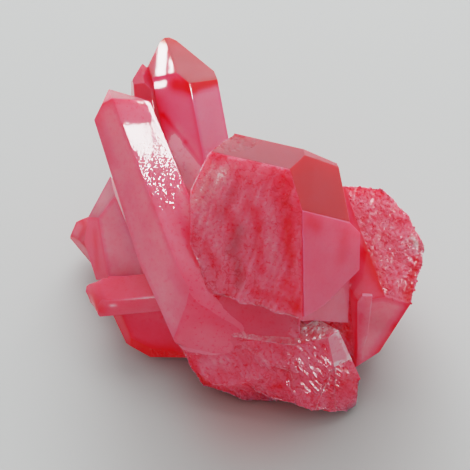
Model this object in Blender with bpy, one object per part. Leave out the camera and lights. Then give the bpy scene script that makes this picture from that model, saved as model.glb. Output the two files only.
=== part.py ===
# A cluster of dyed rock crystal: pointed blades, broken stubs and a rough mass grown
# together as one solid that rests on the sawn flat of its matrix.
# Millimetres in the tables, metres in the model, +Z up, origin under the middle of the cluster.

import math

import bmesh
import bpy
import numpy as np
from mathutils import Matrix, Vector, noise

MM = 0.001
HEAD_ANGLE = math.radians(51.8)     # between a quartz head face's normal and the long axis
GRAIN = 2.0                         # edge length of the facets on broken faces, mm
RELIEF = 0.7                        # depth of the pits and ridges on broken faces, mm
LIFT = 0.7                          # height of each underside over the resting flat, mm
LIFT_SLOPE = math.radians(5)        # undersides rise outward by this much
LOWEST = 0.4                        # no crystal reaches below this, mm
CLOSE_MARGIN = 0.3                  # blocks end this far outside their corners, mm
SHORTEST = 0.08                     # shorter edges are welded away, mm

# Whole crystals: tip, bearing of the long axis clockwise from +Y, its rise, roll about it,
# the six side distances, the six head offsets, taper and length.
CRYSTALS = {
    "tall_back": dict(tip=(-13.8, 32.9, 46.3), bearing=-15, rise=47.5, roll=-27.5, taper=0.5, length=46,
                      sides=(7.3, 7.6, 7.0, 7.5, 7.5, 6.4), heads=(1.0, -1.1, 0, 0, 0.6, 2.5)),
    "sliver": dict(tip=(-19.9, 27.8, 43.0), bearing=-8.5, rise=45.5, roll=-22, taper=2.4, length=30,
                   sides=(3.8, 4.3, 3.4, 3.4, 4.8, 2.6), heads=(0.5, -0.3, 0, 0, 0, 0)),
    "rear_high": dict(tip=(11.7, 16.5, 28), bearing=25, rise=30, roll=5, taper=2, length=16,
                      sides=(5.2, 5.4, 5.0, 5.2, 5.5, 5.2), heads=(0, 1, 0, 0.5, 0, 0.8)),
    "rear_middle": dict(tip=(10.7, 18.5, 22), bearing=20, rise=18, roll=10, taper=2, length=24,
                        sides=(5.0, 4.6, 5.2, 5.0, 4.8, 5.0), heads=(0, 0.8, 0, -0.5, 1, 0)),
    "rear_right": dict(tip=(26.7, 13.5, 16), bearing=48, rise=10, roll=0, taper=2, length=22,
                       sides=(4.5, 4.2, 4.6, 4.5, 4.4, 4.7), heads=(0, 1, 0.4, 0, 0.8, 0)),
    "rear_long": dict(tip=(-5.3, 24.5, 13), bearing=-4, rise=6, roll=25, taper=2, length=26,
                      sides=(4.5, 4.7, 4.3, 4.5, 4.6, 4.4), heads=(0.5, 0, 1, 0, 0, 0.8)),
    "rear_left": dict(tip=(-19.3, 20.5, 10.5), bearing=-28, rise=12, roll=5, taper=2, length=22,
                      sides=(3.6, 3.4, 3.8, 3.6, 3.7, 3.5), heads=(0, 0.6, 0, 0.9, 0, 0.3)),
    "rear_low": dict(tip=(17.7, 21.5, 9), bearing=30, rise=-8, roll=15, taper=2, length=20,
                     sides=(3.2, 3.4, 3.1, 3.2, 3.3, 3.0), heads=(0.4, 0, 0.6, 0, 0.3, 0)),
}

# Broken and intergrown crystals: each face is the flat through the corners it lists,
# and a face named in rough is a broken surface.
BLOCKS = {
    "blade": dict(
        corners=dict(
            t=(-25.8, 18.5, 43.7), rr=(-17.2, 14.8, 43.7), c0=(-24.2, 13.0, 46.0), s2=(-26.5, 13.5, 44.1),
            sl=(-28.5, 12.5, 40.8), l1=(-25.6, 4.4, 34.0), l2=(-21.1, -6.0, 26.2), m1=(-20.4, 5.0, 40.4),
            m2=(-16.5, -3.1, 34.7), m3=(-9.0, -18.6, 23.7), r1=(-13.6, 6.4, 37.9), r2=(-10.4, 1.5, 34.2),
            r3=(0.6, -16.5, 20.4), kb1=(-13.9, 13.4, 28.6), kl1=(-25.6, 8.6, 27.4), kt=(-22.9, 21.2, 38.5),
            kb3=(-12.3, 2.1, 18.5), f1=(-6.3, -24.2, 12.6), f2=(-14.3, -23.7, 12.5)),
        faces=dict(left="sl s2 c0 m1 m2 m3 l1 l2", front="c0 rr m1 m2 m3 r1 r2 r3", head="t c0 rr",
                   shoulder="s2 t c0", right="rr r2 kb1", under="sl l2 kl1", top="t rr kt", edge="t s2 sl",
                   back="kb1 kb3 kl1", foot="m3 f1 f2"),
        rough="foot"),
    "great": dict(
        corners=dict(
            a=(11.4, -12.2, 42.2), b=(11.9, -25.1, 26.6), b3=(2.7, -20.9, 24.9), b4=(-5.3, -17.1, 23.5),
            l1=(-9.0, -9.5, 30.0), l2=(-9.3, -6.3, 33.7), l3=(-8.9, -3.1, 37.2), t0=(-5.9, -1.1, 41.4),
            t1=(-0.5, 7.1, 42.3), t1b=(-3.7, -0.1, 44.1), kt2=(-0.3, 13.1, 25.8), ktr=(20.4, 12.7, 25.5),
            t2=(12.2, -0.3, 45.3), t3=(20.0, 1.9, 38.9), e2=(9.2, -6.9, 47.0), u1=(12.2, -2.4, 45.9),
            u2=(19.4, 0.5, 39.7), r1=(21.4, -7.9, 33.6), kt=(6.2, 16.5, 28.5), kl=(-8.0, 2.7, 17.7),
            kb=(2.9, -7.6, 9.6), kr=(21.5, 7.9, 21.8), kr2=(21.5, -5.9, 11.0)),
        faces=dict(broken_low="a b b3 b4 l1 l2 e2", broken_high="e2 l2 l3 t0 t1b", crown="t1 t2 u1 e2 t1b",
                   crown_right="t2 t3 u2 u1", upper_right="e2 u1 u2 r1 a", lower_right="a r1 b", left="l1 l3 kl",
                   left_top="l3 t1 kt2", left_low="b4 l1 kl", under="b b3 b4 kb", side="r1 kr2 u2", top="t1 t2 kt",
                   top_right="t2 t3 ktr", back="kt kb kr kr2"),
        rough="broken_low broken_high under back left_low"),
    "shoulder": dict(
        corners=dict(
            a=(11.3, -13.0, 43.4), b=(12.1, -24.7, 26.6), r1=(21.1, -9.2, 35.0), r1b=(22.3, -9.4, 33.7),
            r2=(23.5, -9.3, 31.9), r3=(23.6, -13.9, 26.3), l2=(16.3, -21.7, 26.2), s=(11.5, -10.3, 27.9),
            k1=(4.0, 7.5, 22.2), k2=(23.6, 1.6, 17.4), k3=(23.8, -6.5, 10.0), k4=(9.5, -8.8, 7.6),
            a2=(11.5, -12.7, 42.6), b2=(12.1, -25.1, 27.3)),
        faces=dict(front="a2 r1 r2 r3 l2 b2", top="a2 r1 k1", bevel="r1 r1b r2 k2", right="r2 r3 k2 k3",
                   right_low="r3 l2 k3", under="b2 l2 k4", left="a b s", back="k1 k2 k3 k4"),
        rough="under"),
    "right_block": dict(
        corners=dict(
            o1=(22.6, 5.3, 29.2), o2=(27.0, 5.2, 28.8), o3=(30.2, 5.1, 28.5), o4=(32.9, 2.0, 27.5),
            o5=(34.9, -0.3, 26.7), o6=(37.7, -7.7, 24.4), o7=(33.6, -18.7, 21.6), i1=(24.9, -4.3, 26.3),
            i2=(26.6, -9.9, 24.6), i3=(28.8, -17.5, 22.3), q1=(23.5, -17.4, 20.8), q2=(24.4, -25.0, 7.6),
            s1=(28.7, -23.6, 11.4), s2=(31.6, -20.7, 17.4), q3=(23.1, -19.9, 13.7), q4=(23.7, -23.8, 7.5),
            k1=(22.1, 6.1, 15.3), k2=(36.2, 4.0, 16.2), k3=(38.3, -2.7, 13.3), k4=(33.4, -14.6, 4.5),
            k5=(28.1, -18.7, 0.7), z1=(20.7, -9.2, 23.1)),
        faces=dict(crust="o1 o2 o3 o4 o5 o6 o7 i3 i2 i1", inner="i1 i2 i3 q1 z1", low="i3 q1 q2 s1 s2 o7",
                   strip="q1 q2 q3 q4", top="o1 o2 o3 k1", top_right="o3 o4 o5 k2", right_high="o5 o6 k2",
                   right="o6 o7 k3", right_low="o7 s2 s1 k4", under="s1 q2 k5", back="k1 k3 k4 k5"),
        rough="crust back"),
    "upper_left": dict(
        corners=dict(
            t=(-27.7, 12.4, 24.6), o1=(-32.6, 5.4, 19.0), o2=(-34.0, 2.5, 13.7), o3=(-30.9, -5.3, 10.2),
            i1=(-25.9, 6.4, 25.2), i2=(-29.7, 3.4, 21.1), i3=(-29.0, 0.1, 18.8), i4=(-27.4, -7.1, 13.6),
            r1=(-13.8, 3.1, 27.3), r2=(-13.8, -9.8, 16.8), kt=(-27.2, 17.3, 16.4), kl=(-33.5, 9.3, 7.6),
            kb=(-30.0, -1.2, 2.0)),
        faces=dict(upper="t i1 i2 o1", strip="o1 o2 o3 i4 i3 i2", front="i1 i2 i3 i4 r1 r2", top="t i1 kt",
                   left_high="o1 t kl", left="o1 o2 kl", under="o3 i4 kb", left_low="o2 o3 kb", back="kt kl kb"),
        rough=""),
    "left_stub": dict(
        corners=dict(
            a=(-35.2, 8.6, 14.4), b=(-36.9, 9.0, 12.9), c=(-38.5, 6.8, 10.4), d=(-38.9, 6.8, 8.1),
            e=(-36.1, 4.0, 8.7), m1=(-34.5, 6.2, 14.1), m2=(-36.0, 4.6, 11.8), m3=(-30.3, -1.3, 11.4),
            f=(-32.3, -0.1, 7.3), r1=(-27.9, 5.3, 18.0), r2=(-26.6, -3.1, 12.7), k1=(-35.3, 13.0, 6.7),
            k2=(-38.0, 9.9, 5.6), k3=(-33.7, 4.8, 2.8)),
        faces=dict(top="a m1 r1", head="b c m2 m1 a", front="m1 m2 m3 r1 r2", low_head="c d e m2",
                   top_back="a b k1", left="b c d k2", under="e f k3", back="k1 k2 k3"),
        rough=""),
    "finger": dict(
        corners=dict(
            u1=(-29.2, -9.8, 17.1), u0=(-31.9, -9.4, 13.6), l0=(-31.9, -12.1, 14.2), l1=(-29.3, -15.6, 14.2),
            l2=(-28.5, -15.5, 11.8), b1=(-26.0, -15.9, 12.7), d0=(-28.1, -15.0, 16.9), d1=(-17.1, -14.7, 17.8),
            u2=(-19.0, -9.0, 18.0), b2=(-14.7, -15.6, 14.1), n1=(-29.8, -12.6, 16.9), k1=(-30.7, -8.1, 10.6),
            k2=(-29.5, -12.2, 8.1), k3=(-18.8, -7.1, 10.9), k4=(-16.6, -10.8, 8.7)),
        faces=dict(upper="u1 u2 d1 d0 n1", head="u1 u0 l0 n1", low_head="n1 l0 l1 d0", lower="d0 d1 b2 b1 l1",
                   top="u1 u2 k1 k3", nose="u0 l0 k1", nose_low="l0 l1 l2 k2", under="l2 b1 b2 k2 k4",
                   back="k1 k2 k3 k4"),
        rough=""),
    "lower_left": dict(
        corners=dict(
            a=(-26.6, -13.2, 9.0), b=(-23.9, -17.7, 5.2), c=(-22.7, -18.8, 5.1), d=(-18.4, -20.8, 3.9),
            e=(-12.8, -21.5, 5.1), i1=(-24.5, -14.2, 11.4), i2=(-22.3, -18.2, 7.5), i3=(-17.8, -20.2, 6.4),
            r1=(-10.0, -15.6, 13.7), r2=(-6.4, -22.0, 7.5), t1=(-22.2, -10.6, 16.2), k1=(-25.0, -8.9, 3.5),
            k2=(-21.5, -15.6, -0.4), k3=(-12.5, -18.2, -1.2)),
        faces=dict(strip="a b c i2 i1", front="i1 i2 i3 r1 r2 t1", low="c d i3 i2", low_right="d e r2 i3",
                   left="a b k1", under="c d k2", under_right="d e k3", back="k1 k2 k3"),
        rough="low_right"),
    "mass": dict(
        corners=dict(
            p1=(-15.6, -17.7, 17.9), p2=(-12.9, -21.1, 13.9), p3=(-9.2, -25.7, 8.5), p4=(-6.1, -28.1, 4.4),
            p5=(1.3, -29.4, 1.8), p6=(7.9, -29.2, 2.6), q2=(-2.5, -28.2, 10.1), q3=(8.5, -28.1, 10.8),
            c1=(-4.2, -14.2, 26.7), c2=(11.9, -18.3, 26.0), k1=(-15.9, -6.4, 7.8), k2=(-7.7, -22.7, 1.7),
            k3=(3.0, -22.6, -5.9), t1=(-14.4, -19.2, 15.8), t2=(-4.2, -14.6, 23.9), t3=(-7.9, -3.9, 15.0)),
        faces=dict(front="p1 p2 p3 c1 c2 q3", low_left="p3 p4 q2", low="q2 q3 p5 p6", low_middle="p4 p5 q2",
                   left="p1 p2 p3 k1 k2", under="p4 p5 k3", back="k1 k2 k3", top="t1 t2 t3"),
        rough="front low_left low low_middle left under back top"),
    "ledge": dict(
        corners=dict(
            a1=(19.6, -22.9, 19.0), a2=(22.9, -25.9, 12.2), a3=(19.0, -27.5, 13.1), a4=(17.5, -24.4, 18.6),
            a5=(13.5, -18.5, 18.4), a6=(8.3, -25.8, 17.3), n1=(10.4, -28.5, 12.4), n2=(17.3, -30.1, 8.8),
            b0=(0.7, -28.7, 7.3), b1=(5.3, -30.5, 6.6), b2=(9.7, -32.2, 5.9), b3=(15.7, -32.6, 4.7),
            b4=(22.1, -32.2, 2.5), b5=(24.6, -31.8, 1.3), b6=(24.8, -29.5, 3.6), b7=(25.2, -27.3, 6.9),
            m1=(-0.3, -23.8, 14.7), k1=(9.4, -26.1, -3.4), k2=(24.8, -26.4, -5.4), k3=(23.6, -18.0, 1.8),
            k4=(7.2, -20.4, 1.7)),
        faces=dict(plate="a1 a2 a3 a4", upper="a1 a4 a5 a6", front="a4 a3 n2 n1 a6", low="a3 n2 b4 b3",
                   low_front="n1 n2 b2 b3", right="a2 a3 b7 b6", left="a6 n1 m1", left_low="n1 b0 b1 b2",
                   right_back="a1 a2 b7 k3", right_low="b5 b6 b7 k2", under="b2 b3 b4 b5 k1", under_left="b0 b1 b2 k1",
                   top="a1 a5 k3", back="k1 k2 k3 k4"),
        rough="upper front low low_front right left left_low right_low under under_left back"),
    "growth_plate": dict(
        corners=dict(
            a=(23.5, -17.8, 20.7), b=(24.4, -17.1, 22.2), c=(26.3, -17.3, 22.4), d=(26.3, -18.9, 19.6),
            e=(26.1, -21.5, 15.0), f=(25.7, -22.8, 12.5), g=(24.3, -23.4, 11.0), ka=(23.9, -15.2, 19.2),
            kb=(24.8, -14.5, 20.7), kc=(26.7, -14.7, 20.9), ke=(26.5, -18.9, 13.5), kf=(26.1, -20.2, 11.0),
            kg=(24.7, -20.8, 9.5)),
        faces=dict(front="a b c d e f g", left="a g ka kg", top_left="a b ka", top="b c kb", right="c d e kc",
                   right_low="e f ke", foot="f g kf", back="ka kb kc ke kf kg"),
        rough=""),
    "infill": dict(
        corners=dict(
            a=(17.2, -17.4, 21.1), b=(23.3, -15.6, 19.8), c=(24.0, -24.2, 8.3), d=(19.7, -22.7, 12.8),
            e=(12.2, -21.0, 19.5), f=(24.7, -11.8, 21.6), k1=(13.6, -10.4, 10.0), k2=(24.4, -10.4, 10.0),
            k3=(23.3, -18.9, 3.4)),
        faces=dict(front="a b c d e", top="a f k2", right="b c k3", under="d e k1", back="k1 k2 k3"),
        rough="front"),
}

# The matrix: rings of (height, half width, half depth, centre x, centre y) from the resting flat up.
MATRIX_RINGS = (
    (0.0, 20.0, 14.0, 5.0, -7.5),
    (8.0, 25.5, 18.0, 4.0, -6.5),
    (22.0, 15.5, 10.5, 3.0, -4.5),
)
MATRIX_SIDES = 11
REST_CUT = 0.0

LOOK = dict(colour=(0.78, 0.10, 0.16, 1.0), roughness=0.22, metallic=0.0)


def spread_noise(point, size, seed):
    # smooth noise between -1 and 1 over a given feature size in mm
    return noise.noise(Vector(point) / size + Vector((seed, 3.1 * seed, -1.7 * seed)))


def flat_through(points, inside):
    # outward normal and distance of the best flat through some points
    points = np.array(points, float)
    middle = points.mean(axis=0)
    normal = np.linalg.svd(points - middle)[2][2]
    if normal @ (middle - inside) < 0:
        normal = -normal
    return Vector(normal), float(normal @ middle)


def clip_flats(number, middle):
    # keeps a crystal clear of the resting plane, with an underside that rises outward
    outward = Vector((middle[0], middle[1], 0.0)).normalized()
    normal = Vector((0, 0, -math.cos(LIFT_SLOPE))) + outward * math.sin(LIFT_SLOPE)
    point = Vector((middle[0], middle[1], LIFT))
    down = Vector((0, 0, -1))
    return [(normal, normal.dot(point), True), (down, -LOWEST - 0.05 * number, False)]


def crystal_flats(tip, bearing, rise, roll, taper, length, sides, heads):
    # the side, head and foot faces of one quartz crystal as (normal, distance, rough)
    tip = Vector(tip)
    turn = math.radians(bearing)
    lift = math.radians(rise)
    axis = Vector((math.sin(turn) * math.cos(lift), math.cos(turn) * math.cos(lift), math.sin(lift)))
    up = (Vector((0, 0, 1)) - axis * axis.z).normalized()
    across = axis.cross(up)
    flats = []
    for k in range(6):
        angle = math.radians(roll + 60 * k)
        spoke = up * math.cos(angle) + across * math.sin(angle)
        side = spoke * math.cos(math.radians(taper)) + axis * math.sin(math.radians(taper))
        head = spoke * math.sin(HEAD_ANGLE) + axis * math.cos(HEAD_ANGLE)
        flats.append((side, side.dot(tip) + sides[k], False))
        flats.append((head, head.dot(tip) + math.cos(HEAD_ANGLE) * heads[k], False))
    flats.append((-axis, -axis.dot(tip - axis * length), False))
    return flats, tip - axis * length * 0.5


def block_flats(corners, faces, rough):
    points = np.array(list(corners.values()), float)
    inside = points.mean(axis=0)
    flats = []
    for name, listed in faces.items():
        normal, distance = flat_through([corners[c] for c in listed.split()], inside)
        flats.append((normal, distance, name in rough.split()))
    low = points.min(axis=0) - CLOSE_MARGIN
    high = points.max(axis=0) + CLOSE_MARGIN
    for k, way in enumerate((Vector((1, 0, 0)), Vector((0, 1, 0)), Vector((0, 0, 1)))):
        flats.append((way, float(high[k]), False))
        flats.append((-way, -float(low[k]), False))
    return flats, Vector(inside)


def cut_solid(flats, middle):
    # a convex solid left when a big cube is cut by every flat; rough faces carry material index 1
    bm = bmesh.new()
    bmesh.ops.create_cube(bm, size=160.0, matrix=Matrix.Translation(middle))
    for normal, distance, rough in flats:
        geometry = bm.verts[:] + bm.edges[:] + bm.faces[:]
        cut = bmesh.ops.bisect_plane(bm, geom=geometry, dist=1e-4, plane_co=normal * distance,
                                     plane_no=normal, clear_outer=True)
        edges = [e for e in cut["geom_cut"] if isinstance(e, bmesh.types.BMEdge)]
        if len(edges) > 2:
            made = bmesh.ops.holes_fill(bm, edges=edges, sides=0)
            for face in made["faces"]:
                face.material_index = 1 if rough else 0
    bmesh.ops.remove_doubles(bm, verts=bm.verts[:], dist=0.12)
    bmesh.ops.dissolve_degenerate(bm, edges=bm.edges[:], dist=0.05)
    bmesh.ops.recalc_face_normals(bm, faces=bm.faces[:])
    return bm


def matrix_solid():
    # the rough mass under the crystals, a lumpy drum with a flat foot
    bm = bmesh.new()
    rings = []
    for level, (height, width, depth, cx, cy) in enumerate(MATRIX_RINGS):
        ring = []
        for k in range(MATRIX_SIDES):
            angle = 2 * math.pi * (k + 0.5 * level) / MATRIX_SIDES
            bump = 1.0 + 0.06 * math.sin(3 * angle + level) + 0.04 * math.sin(5 * angle)
            spot = (cx + width * bump * math.cos(angle), cy + depth * bump * math.sin(angle), height)
            ring.append(bm.verts.new(spot))
        rings.append(ring)
    for lower, upper in zip(rings, rings[1:]):
        for k in range(MATRIX_SIDES):
            after = (k + 1) % MATRIX_SIDES
            bm.faces.new((lower[k], lower[after], upper[k])).material_index = 1
            bm.faces.new((lower[after], upper[after], upper[k])).material_index = 1
    bm.faces.new(list(reversed(rings[0])))
    bm.faces.new(rings[-1]).material_index = 1
    bmesh.ops.recalc_face_normals(bm, faces=bm.faces[:])
    return bm


def roughen(bm, seed):
    # breaks the rough faces into grains and works pits and ridges into them
    rough = [f for f in bm.faces if f.material_index == 1]
    if not rough:
        return
    bmesh.ops.triangulate(bm, faces=rough)
    for _ in range(5):
        rough = [f for f in bm.faces if f.material_index == 1]
        long_edges = {e for f in rough for e in f.edges if e.calc_length() > GRAIN * 1.5}
        if not long_edges:
            break
        bmesh.ops.subdivide_edges(bm, edges=list(long_edges), cuts=1)
        rough = [f for f in bm.faces if f.material_index == 1 and len(f.verts) > 3]
        bmesh.ops.triangulate(bm, faces=rough)
    bm.normal_update()
    moves = {}
    for vert in bm.verts:
        broken = [f.normal for f in vert.link_faces if f.material_index == 1]
        whole = [f.normal for f in vert.link_faces if f.material_index == 0]
        if not broken or len(vert.link_edges) < 2 or vert.co.z < REST_CUT + 0.05:
            continue
        inward = -sum(broken, Vector()).normalized()
        for normal in whole:
            inward = inward - normal * inward.dot(normal)
        if len(whole) > 1 or inward.length < 0.2:
            continue
        wave = abs(spread_noise(vert.co, 4.5, seed)) * 1.2 + abs(spread_noise(vert.co, 1.9, seed + 9)) * 0.8
        depth = RELIEF * wave * (1.0 if not whole else 0.45)
        moves[vert] = inward.normalized() * (0.08 + depth)
    for vert, move in moves.items():
        vert.co += move
    bmesh.ops.triangulate(bm, faces=[f for f in bm.faces if len(f.verts) > 4])


def to_object(name, bm):
    bmesh.ops.scale(bm, vec=(MM, MM, MM), verts=bm.verts[:])
    mesh = bpy.data.meshes.new(name)
    bm.to_mesh(mesh)
    bm.free()
    made = bpy.data.objects.new(name, mesh)
    bpy.context.collection.objects.link(made)
    return made


def join_solid(base, other):
    # Boolean union of two closed objects, applied at once
    union = base.modifiers.new("union", "BOOLEAN")
    union.operation = "UNION"
    union.solver = "EXACT"
    union.object = other
    joined = bpy.data.meshes.new_from_object(base.evaluated_get(bpy.context.evaluated_depsgraph_get()))
    base.modifiers.clear()
    base.data = joined
    bpy.data.objects.remove(other)


def weld_short_edges(bm, limit):
    # closes the shortest edges one by one, each only where the surface stays a single skin
    while True:
        short = [e for e in bm.edges if e.calc_length() < limit]
        welded = False
        for edge in sorted(short, key=lambda e: e.calc_length()):
            one, two = edge.verts
            near_one = {e.other_vert(one) for e in one.link_edges}
            near_two = {e.other_vert(two) for e in two.link_edges}
            if len(near_one & near_two) == 2:
                bmesh.ops.weld_verts(bm, targetmap={one: two})
                welded = True
                break
        if not welded:
            return


def tidy(obj):
    # triangles all over, without the slivers that the unions leave
    bm = bmesh.new()
    bm.from_mesh(obj.data)
    bmesh.ops.triangulate(bm, faces=bm.faces[:])
    weld_short_edges(bm, SHORTEST * MM)
    bm.to_mesh(obj.data)
    bm.free()


def crystal_look():
    look = bpy.data.materials.new("dyed_quartz")
    look.use_nodes = True
    shader = look.node_tree.nodes["Principled BSDF"]
    shader.inputs["Base Color"].default_value = LOOK["colour"]
    shader.inputs["Roughness"].default_value = LOOK["roughness"]
    shader.inputs["Metallic"].default_value = LOOK["metallic"]
    shader.inputs["IOR"].default_value = 1.54
    look.diffuse_color = LOOK["colour"]
    return look


def build():
    for old in list(bpy.data.objects):
        bpy.data.objects.remove(old)
    base = matrix_solid()
    roughen(base, 1)
    cluster = to_object("crystal_cluster", base)
    solids = []
    for name, block in BLOCKS.items():
        solids.append((name, *block_flats(block["corners"], block["faces"], block["rough"])))
    for name, crystal in CRYSTALS.items():
        solids.append((name, *crystal_flats(**crystal)))
    for number, (name, flats, middle) in enumerate(solids):
        bm = cut_solid(flats + clip_flats(number, middle), middle)
        roughen(bm, number + 2)
        join_solid(cluster, to_object(name, bm))
    tidy(cluster)
    cluster.data.materials.clear()
    cluster.data.materials.append(crystal_look())
    for face in cluster.data.polygons:
        face.material_index = 0


build()
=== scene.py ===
import math

import bmesh
import bpy
import numpy as np
from mathutils import Matrix, Vector, kdtree, noise


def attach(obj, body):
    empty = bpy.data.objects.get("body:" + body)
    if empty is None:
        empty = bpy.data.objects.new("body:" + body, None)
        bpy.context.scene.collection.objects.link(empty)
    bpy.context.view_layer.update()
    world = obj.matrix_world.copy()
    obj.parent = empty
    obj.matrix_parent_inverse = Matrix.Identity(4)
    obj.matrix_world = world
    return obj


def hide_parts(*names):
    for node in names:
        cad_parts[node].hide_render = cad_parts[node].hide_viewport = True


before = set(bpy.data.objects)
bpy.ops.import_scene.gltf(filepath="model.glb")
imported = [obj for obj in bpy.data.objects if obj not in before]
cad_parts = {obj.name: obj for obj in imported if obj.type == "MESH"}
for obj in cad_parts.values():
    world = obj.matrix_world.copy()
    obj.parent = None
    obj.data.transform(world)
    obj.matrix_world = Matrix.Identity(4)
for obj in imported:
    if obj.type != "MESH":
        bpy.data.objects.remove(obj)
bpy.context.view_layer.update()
mm = 0.001
noise.seed_set(3)  # the same grains in every run

# Whole crystals, in mm and degrees: tip, bearing of the long axis from +Y, rise, roll, side distances, head offsets
crystals = {
    "tallBack": dict(tip=(-13.8, 32.9, 46.3), bearing=-15, rise=47.5, roll=-27.5, taper=0.5, length=46,
                     sides=(7.3, 7.6, 7, 7.5, 7.5, 6.4), heads=(1, -1.1, 0, 0, 0.6, 2.5)),
    "sliver": dict(tip=(-19.9, 27.8, 43), bearing=-8.5, rise=45.5, roll=-22, taper=2.4, length=30,
                   sides=(3.8, 4.3, 3.4, 3.4, 4.8, 2.6), heads=(0.5, -0.3, 0, 0, 0, 0)),
    "rearHigh": dict(tip=(11.7, 16.5, 28), bearing=25, rise=30, roll=5, taper=2, length=16,
                     sides=(5.2, 5.4, 5, 5.2, 5.5, 5.2), heads=(0, 1, 0, 0.5, 0, 0.8)),
    "rearMiddle": dict(tip=(10.7, 18.5, 22), bearing=20, rise=18, roll=10, taper=2, length=24,
                       sides=(5, 4.6, 5.2, 5, 4.8, 5), heads=(0, 0.8, 0, -0.5, 1, 0)),
    "rearRight": dict(tip=(26.7, 13.5, 16), bearing=48, rise=10, roll=0, taper=2, length=22,
                      sides=(4.5, 4.2, 4.6, 4.5, 4.4, 4.7), heads=(0, 1, 0.4, 0, 0.8, 0)),
    "rearLong": dict(tip=(-5.3, 24.5, 13), bearing=-4, rise=6, roll=25, taper=2, length=26,
                     sides=(4.5, 4.7, 4.3, 4.5, 4.6, 4.4), heads=(0.5, 0, 1, 0, 0, 0.8)),
    "rearLeft": dict(tip=(-19.3, 20.5, 10.5), bearing=-28, rise=12, roll=5, taper=2, length=22,
                     sides=(3.6, 3.4, 3.8, 3.6, 3.7, 3.5), heads=(0, 0.6, 0, 0.9, 0, 0.3)),
    "rearLow": dict(tip=(17.7, 21.5, 9), bearing=30, rise=-8, roll=15, taper=2, length=20,
                    sides=(3.2, 3.4, 3.1, 3.2, 3.3, 3), heads=(0.4, 0, 0.6, 0, 0.3, 0)),
}

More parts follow.
